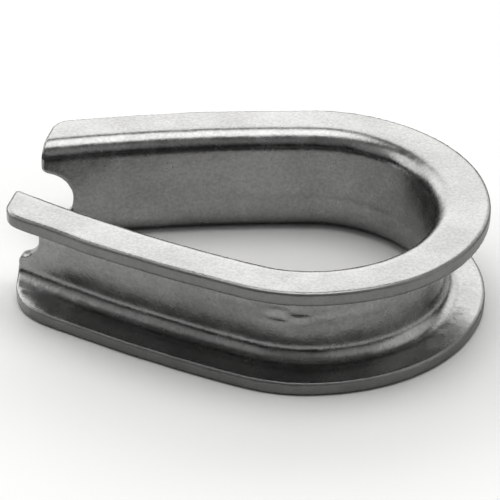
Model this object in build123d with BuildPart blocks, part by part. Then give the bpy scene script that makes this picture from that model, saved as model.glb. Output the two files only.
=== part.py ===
# Open-end wire rope thimble, pressed from one strip of steel.
#
# The strip is bent to a channel whose groove faces outwards and whose web
# lines the eye. It is then wrapped into a teardrop: a round crown at +X and
# two legs that close in on each other towards -X and stop short of meeting.
# Z is up and is the axis of the eye. The origin is the middle of the
# footprint, on the face the thimble lies on. All sizes are in millimetres.
from build123d import *
import math
import os

os.makedirs("parts", exist_ok=True)

# ---- driving dimensions ------------------------------------------------
height = 22.0            # across the two flanges
flange_w = 10.6          # eye surface of the web to the flange lip
strip_t = 2.7            # thickness of the strip
eye_edge_r = 3.8         # outside radius between web and flange, eye side
groove_r = 3.4           # inside radius at the bottom of the rope groove
lip_r = 0.4              # broken edge along the flange lips

crown_r = 24.8           # eye surface round the crown
crown_half = 75.0        # the crown arc runs this far each side of +X
shoulder_r = 20.2        # tighter arc between crown and leg
shoulder_end = 102.2     # where the shoulder arc ends, from +X
leg_r = 250.0            # gentle inward bow of each leg
leg_turn = 13.4          # angle of that bow, run past the cut at the tips

tip_reach = 54.3         # crown centre to the square-cut tips
upper_ear_r = 4.8        # rounded outer corner of the upper flange's tips
lower_ear_r = 12.6       # rounded outer corner of the lower flange's tips

front_notch_r = 5.4      # notch in the end of the web of the -Y leg
front_notch_z = 1.8      # its centre above mid height
back_notch_r = 6.2       # notch in the end of the web of the +Y leg
back_notch_z = -1.2      # its centre above mid height
notch_back = 0.6         # the notch centres stand this far outside the cut
notch_lead_r = 1.5       # rounding where a notch runs out at the tip

# ---- derived -----------------------------------------------------------
lip_x = crown_r + flange_w                    # crown lip from crown centre
centre_x = (tip_reach - lip_x) / 2.0          # crown centre in the frame
cut_x = centre_x - tip_reach                  # plane of the cut tips
mid_z = height / 2.0


def at(radius, deg, cx=0.0, cy=0.0):
    a = math.radians(deg)
    return (cx + radius * math.cos(a), cy + radius * math.sin(a))


# centres of the arcs of the +Y half, in the frame
sh_c = at(crown_r - shoulder_r, crown_half, centre_x, 0.0)
sh_end = at(shoulder_r, shoulder_end, *sh_c)
leg_c = at(-leg_r, shoulder_end, *sh_end)
leg_end = at(leg_r, shoulder_end + leg_turn, *leg_c)
start_deg = -(shoulder_end + leg_turn)        # outward normal at the -Y end


def strip_plan(near, far):
    """Outline of the strip between two distances outside the eye surface."""
    t0 = math.radians(start_deg + 90.0)
    heading = (math.cos(t0), math.sin(t0), 0)
    ends = []
    for out in (near, far):
        sx, sy = at(out, start_deg, leg_end[0], -leg_end[1])
        b1 = JernArc((sx, sy, 0), heading, leg_r + out, leg_turn)
        b2 = JernArc(b1 @ 1, b1 % 1, shoulder_r + out, shoulder_end - crown_half)
        b3 = JernArc(b2 @ 1, b2 % 1, crown_r + out, 2 * crown_half)
        b4 = JernArc(b3 @ 1, b3 % 1, shoulder_r + out, shoulder_end - crown_half)
        b5 = JernArc(b4 @ 1, b4 % 1, leg_r + out, leg_turn)
        ends.append((b1 @ 0, b5 @ 1))
    Line(ends[0][0], ends[1][0])
    Line(ends[0][1], ends[1][1])


def square_tips():
    """Cut both tips off square to X."""
    with Locations((cut_x, 0)):
        Rectangle(20.0, 4 * lip_x, align=(Align.MAX, Align.CENTER), mode=Mode.SUBTRACT)


def off_eye(edge):
    """Distance of an edge's middle outside the eye surface."""
    p = edge @ 0.5
    side = abs(p.Y)
    legs = math.hypot(p.X - leg_c[0], side - leg_c[1]) - leg_r
    deg = math.degrees(math.atan2(side - leg_c[1], p.X - leg_c[0]))
    if deg >= shoulder_end:
        return legs
    deg = math.degrees(math.atan2(side - sh_c[1], p.X - sh_c[0]))
    if deg >= crown_half:
        return math.hypot(p.X - sh_c[0], side - sh_c[1]) - shoulder_r
    return math.hypot(p.X - centre_x, side) - crown_r


# ---- the thimble -------------------------------------------------------
with BuildPart() as thimble:
    # web, then the two flanges
    with BuildSketch(Plane.XY) as web_plan:
        with BuildLine():
            strip_plan(0.0, strip_t)
        make_face()
        square_tips()
    extrude(amount=height)
    for z_low in (0.0, height - strip_t):
        with BuildSketch(Plane.XY.offset(z_low)) as flange_plan:
            with BuildLine():
                strip_plan(0.0, flange_w)
            make_face()
            square_tips()
        extrude(amount=strip_t)

    # bends and broken lips run the whole length of the strip
    level = [e for e in thimble.edges() if abs((e @ 0).Z - (e @ 1).Z) < 1e-6
             and abs((e % 0.5).Z) < 1e-6 and abs((e @ 0.5).X - cut_x) > 0.05]
    eye_edges = [e for e in level if abs(off_eye(e)) < 0.05
                 and min(abs((e @ 0.5).Z), abs((e @ 0.5).Z - height)) < 0.01]
    groove_edges = [e for e in level if abs(off_eye(e) - strip_t) < 0.05
                    and min(abs((e @ 0.5).Z - strip_t),
                            abs((e @ 0.5).Z - height + strip_t)) < 0.01]
    lip_edges = [e for e in level if abs(off_eye(e) - flange_w) < 0.05]
    fillet(eye_edges, eye_edge_r)
    fillet(groove_edges, groove_r)
    fillet(lip_edges, lip_r)

    # a notch let into the end of each web
    for side, n_r, n_z in ((-1, front_notch_r, front_notch_z),
                           (1, back_notch_r, back_notch_z)):
        with BuildSketch(Plane.XZ) as tip_cut:
            with Locations((cut_x, mid_z)):
                Rectangle(12.0, height + 8.0, align=(Align.MAX, Align.CENTER))
            with Locations((cut_x - notch_back, mid_z + n_z)):
                Circle(n_r)
            lead = tip_cut.vertices().filter_by_position(Axis.X, cut_x - 0.01, cut_x + 0.01)
            fillet(lead.filter_by_position(Axis.Y, 0.0, height), notch_lead_r)
        extrude(amount=-side * 40.0, mode=Mode.SUBTRACT)

    # rounded outer corners of the four flange tips
    for side in (-1, 1):
        for ear_r, z_low, z_high in ((lower_ear_r, -1.0, mid_z),
                                     (upper_ear_r, mid_z, height + 1.0)):
            ex = cut_x + ear_r
            reach = leg_r + flange_w - ear_r
            ey = leg_c[1] + math.sqrt(reach ** 2 - (ex - leg_c[0]) ** 2)
            away = math.degrees(math.atan2(ey - leg_c[1], ex - leg_c[0]))
            tx, ty = at(ear_r, away, ex, ey)
            ox, oy = at(ear_r + 9.0, away, ex, ey)
            with BuildSketch(Plane.XY.offset(z_low)) as ear_cut:
                with BuildLine():
                    Polyline((ex, side * ey), (cut_x, side * ey),
                             (cut_x - 9.0, side * ey), (cut_x - 9.0, side * oy),
                             (ox, side * oy), (tx, side * ty), close=True)
                make_face()
                with Locations((ex, side * ey)):
                    Circle(ear_r, mode=Mode.SUBTRACT)
            extrude(amount=z_high - z_low, dir=(0, 0, 1), mode=Mode.SUBTRACT)

thimble.part.label = "thimble"
export_step(thimble.part, "parts/thimble.step")
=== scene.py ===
import math

import bpy
import numpy as np
from mathutils import Matrix, Vector


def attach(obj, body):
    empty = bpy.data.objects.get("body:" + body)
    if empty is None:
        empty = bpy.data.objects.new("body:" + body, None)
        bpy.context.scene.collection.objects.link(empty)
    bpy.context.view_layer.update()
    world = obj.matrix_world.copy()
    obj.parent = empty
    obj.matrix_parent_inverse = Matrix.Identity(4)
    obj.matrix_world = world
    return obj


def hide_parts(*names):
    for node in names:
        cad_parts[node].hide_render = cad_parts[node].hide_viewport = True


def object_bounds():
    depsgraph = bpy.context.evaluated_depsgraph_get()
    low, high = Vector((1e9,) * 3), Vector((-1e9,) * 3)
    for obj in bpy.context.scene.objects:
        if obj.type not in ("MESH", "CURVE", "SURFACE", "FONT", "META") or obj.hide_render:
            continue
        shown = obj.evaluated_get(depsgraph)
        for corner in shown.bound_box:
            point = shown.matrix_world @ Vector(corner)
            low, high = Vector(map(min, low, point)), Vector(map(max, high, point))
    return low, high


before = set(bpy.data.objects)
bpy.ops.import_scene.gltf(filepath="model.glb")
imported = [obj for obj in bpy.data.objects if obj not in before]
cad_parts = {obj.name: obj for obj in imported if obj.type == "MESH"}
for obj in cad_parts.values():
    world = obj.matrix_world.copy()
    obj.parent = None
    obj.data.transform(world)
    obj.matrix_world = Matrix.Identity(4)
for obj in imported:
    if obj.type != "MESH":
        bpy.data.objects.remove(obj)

cad_lo, cad_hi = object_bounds()
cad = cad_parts["thimble"]

# ---------------------------------------------------------------- shape (mm)
H, FW, T = 22.0, 10.6, 2.7                 # height, flange depth, strip
EYE_R, GROOVE_R = 3.8, 3.4                 # bends, eye side and groove side
CR, CH = 24.8, math.radians(75.0)          # crown arc
SR, SE = 20.2, math.radians(102.2)         # shoulder arc
LR, REACH = 250.0, 54.3                    # leg bow, tips from crown centre
CX = (REACH - CR - FW) / 2.0
CUT = CX - REACH
MZ = H / 2.0
SHX, SHY = CX + (CR - SR) * math.cos(CH), (CR - SR) * math.sin(CH)
EX, EY = SHX + SR * math.cos(SE), SHY + SR * math.sin(SE)
LCX, LCY = EX - LR * math.cos(SE), EY - LR * math.sin(SE)
TIP_DEG = math.acos((CUT - LCX) / LR)
S_CROWN, S_SHOULDER, S_LEG = CR * CH, SR * (SE - CH), LR * (TIP_DEG - SE)
S_HALF = S_CROWN + S_SHOULDER + S_LEG


def eye_coords(x, y):
    """Distance outside the eye surface, and run along it from the crown."""
    ya = np.abs(y)
    al = np.arctan2(ya - LCY, x - LCX)
    ash = np.arctan2(ya - SHY, x - SHX)
    ac = np.arctan2(ya, x - CX)
    leg = al >= SE
    sh = (~leg) & (ash >= CH)
    o = np.hypot(x - CX, ya) - CR
    s = CR * ac
    o = np.where(sh, np.hypot(x - SHX, ya - SHY) - SR, o)
    s = np.where(sh, S_CROWN + SR * (ash - CH), s)
    o = np.where(leg, np.hypot(x - LCX, ya - LCY) - LR, o)
    s = np.where(leg, S_CROWN + S_SHOULDER + LR * (al - SE), s)
    return o, s * np.sign(np.where(y == 0, 1e-9, y))


def rmax(a, b, r):
    """Intersection with a rounded edge of radius r."""
    return np.minimum(-r, np.maximum(a, b)) + np.hypot(np.maximum(r + a, 0), np.maximum(r + b, 0))


def lattice(p, seed):
    i = p.astype(np.int64)
    n = (i[..., 0] * 374761393 + i[..., 1] * 668265263 + i[..., 2] * 2147483647 + seed * 1274126177) & 0xFFFFFFFF
    n = ((n ^ (n >> 13)) * 1274126177) & 0xFFFFFFFF
    n = (n ^ (n >> 16)) & 0xFFFF
    return n / 32767.5 - 1.0


def vnoise(p, seed=0):
    """Smooth value noise in -1..1."""
    f = np.floor(p)
    t = p - f
    t = t * t * t * (t * (t * 6 - 15) + 10)
    out = 0
    for dx in (0, 1):
        for dy in (0, 1):
            for dz in (0, 1):
                w = ((t[..., 0] if dx else 1 - t[..., 0]) * (t[..., 1] if dy else 1 - t[..., 1])
                     * (t[..., 2] if dz else 1 - t[..., 2]))
                out = out + w * lattice(f + np.array((dx, dy, dz)), seed)
    return out


def fnoise(p, seed=0, octaves=3, gain=0.5):
    out, a, k = 0, 1.0, 1.0
    for i in range(octaves):
        out = out + a * vnoise(p * k + 11.3 * i, seed + i)
        a *= gain
        k *= 2.03
    return out


def ear(x, y, o, r):
    ex = CUT + r
    ey = LCY + math.sqrt((LR + FW - r) ** 2 - (ex - LCX) ** 2)
    away = math.atan2(ey - LCY, ex - LCX)
    ya = np.abs(y)
    a = np.arctan2(ya - ey, x - ex)
    a = np.where(a < 0, a + 2 * math.pi, a)
    wedge = (a > away) & (a < math.pi + 0.0) & (ya > ey - 0.0)
    return np.where(wedge, np.hypot(x - ex, ya - ey) - r, -99.0)


def smooth(lo, hi, v):
    t = np.clip((v - lo) / (hi - lo), 0, 1)
    return t * t * (3 - 2 * t)


def field(q, rough=True):
    x, y, z = q[:, 0], q[:, 1], q[:, 2]
    o, s = eye_coords(x, y)
    if rough:
        # the strip is not dead true: the flanges wave and the lip wanders
        sp = np.stack([s / 17.0, np.sign(z - MZ) * 3.0 + 0 * s, 0 * s], 1)
        z = z + 0.10 * vnoise(sp, 3) * smooth(4.0, 10.6, o) * np.where(z > MZ, 1, 0.35)
        lip_run = 0.13 * fnoise(np.stack([s / 9.0, np.sign(z - MZ) * 5.0, 0 * s], 1), 7, 2)
    else:
        lip_run = 0.0
    outer = rmax(-o, np.abs(z - MZ) - MZ, EYE_R)
    # the upper bend of the groove opens a little where the strip turns the shoulder
    bend = np.exp(-((np.abs(s) - (S_CROWN + 2.0)) / 9.5) ** 2)
    loose = GROOVE_R + 0.8 * bend * smooth(MZ, MZ + 0.01, z)
    groove = rmax(T - o, np.abs(z - MZ) - (MZ - T), loose)
    # cut tips, notches and rounded ears
    front = y < 0
    nr = np.where(front, 5.4, 6.2)
    nz = MZ + np.where(front, 1.8, -1.2)
    notch = nr - np.hypot(x - (CUT - 0.6), z - nz)
    end = rmax(CUT - x, notch, 1.5)
    end = np.maximum(end, np.where(z > MZ, ear(x, y, o, 4.8), ear(x, y, o, 12.6)))
    side = np.maximum(end, o - FW + 0.05 + lip_run)
    low = z < 5.0
    tipness = smooth(S_HALF - 9.0, S_HALF - 1.0, np.abs(s))
    r_out = np.where(low & (o > 6), 0.60, 0.45)
    r_out = r_out * (1 - tipness) + 0.5 * tipness
    a = rmax(outer, side, r_out)
    b = rmax(-groove, side, np.where(low, 0.30, 0.42))
    d = np.maximum(a, b)
    if rough:
        # hammered galvanising: slow swells over all, wrinkles where the web
        # is upset at the shoulders
        d = d + 0.022 * fnoise(q / 3.1, 21, 2)
        # faint line left by forming, along the eye side
        d = d + 0.11 * np.exp(-((z - 7.2) / 0.85) ** 2) * smooth(1.3, 0.6, o) * (1 + 0.3 * vnoise(np.stack([s / 12.0, 0 * s, 0 * s], 1), 41))
        web = smooth(6.0, 3.6, o) * smooth(1.4, 2.4, o)
        wr = fnoise(np.stack([s / 3.2, z / 1.3, o / 2.5], 1), 31, 2)
        d = d + 0.15 * web * bend * wr * smooth(9.5, 12.0, z) * smooth(18.5, 15.5, z)
    return d


def settle(q, steps=6):
    e = 0.02
    for _ in range(steps):
        d = field(q)
        g = np.empty_like(q)
        for k in range(3):
            dq = np.zeros(3)
            dq[k] = e
            g[:, k] = (field(q + dq) - field(q - dq)) / (2 * e)
        n = np.maximum((g * g).sum(1), 0.2)
        step = -(d / n)[:, None] * g
        size = np.linalg.norm(step, axis=1)
        q = q + step * np.minimum(1, 0.5 / np.maximum(size, 1e-9))[:, None]
    return q


# ------------------------------------------------- finer mesh for the thimble
voxel = 0.45e-3
src = cad.data.copy()
work = bpy.data.objects.new("thimble_skin", src)
bpy.context.scene.collection.objects.link(work)
work.matrix_world = cad.matrix_world.copy()
mod = work.modifiers.new("fine", "REMESH")
mod.mode = "VOXEL"
mod.voxel_size = voxel
mod.use_smooth_shade = True
dg = bpy.context.evaluated_depsgraph_get()
mesh = bpy.data.meshes.new_from_object(work.evaluated_get(dg))
work.modifiers.clear()
work.data = mesh
skin = work
skin.data.name = "thimble_skin"
n = len(mesh.vertices)
co = np.empty(n * 3)
mesh.vertices.foreach_get("co", co)
q = settle(co.reshape(-1, 3).astype(float) * 1000.0)
lo, hi = np.array(cad_lo) * 1000, np.array(cad_hi) * 1000
q = np.clip(q, lo - 0.02, hi + 0.02)
mesh.vertices.foreach_set("co", (q / 1000.0).astype(np.float32).ravel())
mesh.update()
mesh.materials.clear()
for p in mesh.polygons:
    p.use_smooth = True

# where the sheared lip is, for the material
o, s = eye_coords(q[:, 0], q[:, 1])
z = q[:, 2]


def mask(name, values):
    a = mesh.attributes.new(name, "FLOAT", "POINT")
    a.data.foreach_set("value", np.asarray(values, dtype=np.float32))


mask("lip", smooth(FW - 0.75, FW - 0.25, o))


# ------------------------------------------------------------------ material
def link(nt, a, b):
    nt.links.new(a, b)


mat = bpy.data.materials.new("galvanised_steel")
mat.use_nodes = True
nt = mat.node_tree
nt.nodes.clear()
N = nt.nodes.new
out = N("ShaderNodeOutputMaterial")
bsdf = N("ShaderNodeBsdfPrincipled")
link(nt, bsdf.outputs[0], out.inputs[0])
tc = N("ShaderNodeTexCoord")


def noise_tex(scale, detail=3.0, rough=0.55, dist=0.0):
    t = N("ShaderNodeTexNoise")
    t.inputs["Scale"].default_value = scale
    t.inputs["Detail"].default_value = detail
    t.inputs["Roughness"].default_value = rough
    t.inputs["Distortion"].default_value = dist
    link(nt, tc.outputs["Object"], t.inputs["Vector"])
    return t.outputs["Fac"]


def ramp(src, stops):
    r = N("ShaderNodeValToRGB")
    while len(r.color_ramp.elements) < len(stops):
        r.color_ramp.elements.new(0.5)
    for e, (p, c) in zip(r.color_ramp.elements, stops):
        e.position = p
        e.color = (*c, 1) if len(c) == 3 else c
    link(nt, src, r.inputs["Fac"])
    return r.outputs["Color"]


def mix(fac, a, b, mode="MIX"):
    m = N("ShaderNodeMix")
    m.data_type = "RGBA"
    m.blend_type = mode
    for sock, v in ((m.inputs["Factor"], fac), (m.inputs["A"], a), (m.inputs["B"], b)):
        if hasattr(v, "is_output"):
            link(nt, v, sock)
        elif isinstance(v, (int, float)):
            sock.default_value = v
        else:
            sock.default_value = (*v, 1)
    return m.outputs["Result"]


def attr(name):
    a = N("ShaderNodeAttribute")
    a.attribute_name = name
    return a.outputs["Fac"]


def math_node(op, a, b=None):
    m = N("ShaderNodeMath")
    m.operation = op
    for i, v in enumerate((a, b)):
        if v is None:
            continue
        if hasattr(v, "is_output"):
            link(nt, v, m.inputs[i])
        else:
            m.inputs[i].default_value = v
    return m.outputs[0]


blotch = noise_tex(260, 4, 0.6)
grain = noise_tex(1500, 3, 0.6)
cloud = noise_tex(75, 3, 0.5)
base = ramp(blotch, [(0.3, (0.33, 0.33, 0.327)), (0.7, (0.45, 0.45, 0.446))])
base = mix(0.35, base, ramp(cloud, [(0.35, (0.29, 0.29, 0.287)), (0.65, (0.45, 0.45, 0.446))]), "MIX")
base = mix(0.22, base, ramp(grain, [(0.35, (0.26, 0.26, 0.257)), (0.65, (0.52, 0.52, 0.515))]))
base = mix(math_node("MULTIPLY", attr("lip"), 0.55), base, (0.26, 0.26, 0.257))
link(nt, base, bsdf.inputs["Base Color"])
bsdf.inputs["Metallic"].default_value = 1.0
rough = ramp(blotch, [(0.3, (0.20, 0.20, 0.20)), (0.7, (0.30, 0.30, 0.30))])
rough = mix(attr("lip"), rough, (0.42, 0.42, 0.42))     # sheared edge, duller
link(nt, rough, bsdf.inputs["Roughness"])
bump = N("ShaderNodeBump")
bump.inputs["Strength"].default_value = 0.35
bump.inputs["Distance"].default_value = 0.00012
hsum = math_node("ADD", math_node("MULTIPLY", blotch, 1.0), math_node("MULTIPLY", grain, 0.55))
link(nt, hsum, bump.inputs["Height"])
link(nt, bump.outputs[0], bsdf.inputs["Normal"])
mesh.materials.append(mat)

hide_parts("thimble")
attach(skin, "root")


# --------------------------------------------------------------------- stage
def matte(name, colour):
    m = bpy.data.materials.new(name)
    m.use_nodes = True
    b = m.node_tree.nodes["Principled BSDF"]
    b.inputs["Base Color"].default_value = (*colour, 1)
    b.inputs["Roughness"].default_value = 0.9
    b.inputs["Specular IOR Level"].default_value = 0.0
    return m


fm = bpy.data.meshes.new("floor")
F = 3.0
fm.from_pydata([(-F, -F, -0.0001), (F, -F, -0.0001), (F, F, -0.0001), (-F, F, -0.0001)], [], [(0, 1, 2, 3)])
floor = bpy.data.objects.new("floor", fm)
bpy.context.scene.collection.objects.link(floor)
fm.materials.append(matte("floor_pale", (0.90, 0.90, 0.895)))

world = bpy.data.worlds.new("studio")
bpy.context.scene.world = world
world.use_nodes = True
wt = world.node_tree
wt.nodes.clear()
w_out = wt.nodes.new("ShaderNodeOutputWorld")
w_bg = wt.nodes.new("ShaderNodeBackground")
w_tc = wt.nodes.new("ShaderNodeTexCoord")
wt.links.new(w_bg.outputs[0], w_out.inputs[0])


def compass(bearing, elevation):
    """Direction: bearing 0 is +Y (behind), 90 is +X, 180 the camera side."""
    b, e = math.radians(bearing), math.radians(elevation)
    return Vector((math.sin(b) * math.cos(e), math.cos(b) * math.cos(e), math.sin(e)))


def softbox(bearing, elevation, radius, soft, level):
    """A round soft light in the surroundings, with a feathered edge."""
    dot = wt.nodes.new("ShaderNodeVectorMath")
    dot.operation = "DOT_PRODUCT"
    dot.inputs[1].default_value = compass(bearing, elevation)
    wt.links.new(w_tc.outputs["Generated"], dot.inputs[0])
    mr = wt.nodes.new("ShaderNodeMapRange")
    mr.interpolation_type = "SMOOTHSTEP"
    mr.inputs["From Min"].default_value = math.cos(math.radians(radius + soft))
    mr.inputs["From Max"].default_value = math.cos(math.radians(max(radius - soft, 0.0)))
    mr.inputs["To Min"].default_value = 0.0
    mr.inputs["To Max"].default_value = level
    wt.links.new(dot.outputs["Value"], mr.inputs["Value"])
    return mr.outputs[0]


def brightest(outs):
    v = outs[0]
    for o_ in outs[1:]:
        mx = wt.nodes.new("ShaderNodeMath")
        mx.operation = "MAXIMUM"
        wt.links.new(v, mx.inputs[0])
        wt.links.new(o_, mx.inputs[1])
        v = mx.outputs[0]
    return v


FILL = 0.02
sky = brightest([
    softbox(-12, 25, 22, 9, 1.22),      # big softbox behind
    softbox(-48, 26, 18, 9, 1.24),      # behind, left
    softbox(24, 24, 15, 9, 1.12),       # behind, right
    softbox(0, 86, 24, 9, 1.50),        # overhead
    softbox(-88, 30, 20, 9, 1.10),      # left
    softbox(80, 30, 26, 10, 0.62),      # right
    softbox(130, 34, 22, 10, 0.42),     # front fill, right
    softbox(180, 40, 22, 10, 0.26),     # front fill
    softbox(-132, 36, 22, 10, 0.36),    # front fill, left
])
add = wt.nodes.new("ShaderNodeMath")
add.operation = "ADD"
add.inputs[1].default_value = FILL
wt.links.new(sky, add.inputs[0])
wt.links.new(add.outputs[0], w_bg.inputs["Strength"])
w_bg.inputs["Color"].default_value = (1.0, 1.0, 0.995, 1)

# -------------------------------------------------------------------- camera
az, el, roll = (math.radians(v) for v in (11.342, 31.127, 0.711))
dist = 0.483166
target = Vector((0.001 * (CX - 9.703), -0.004084, 0.011))
back = Vector((math.sin(az) * math.cos(el), -math.cos(az) * math.cos(el), math.sin(el)))
right = (-back).cross(Vector((0, 0, 1))).normalized()
up = right.cross(-back)
r2 = math.cos(roll) * right + math.sin(roll) * up
u2 = -math.sin(roll) * right + math.cos(roll) * up
cam_data = bpy.data.cameras.new("camera")
cam_data.lens = 5.2044 * 483.166 / 500.0 * 36.0
cam_data.sensor_width = 36.0
cam_data.clip_start = 0.01
cam = bpy.data.objects.new("camera", cam_data)
bpy.context.scene.collection.objects.link(cam)
m = Matrix((r2, u2, back)).transposed().to_4x4()
m.translation = target + back * dist
cam.matrix_world = m
bpy.context.scene.camera = cam
bpy.context.scene.view_settings.view_transform = "Standard"
bpy.context.scene.view_settings.look = "Very High Contrast"
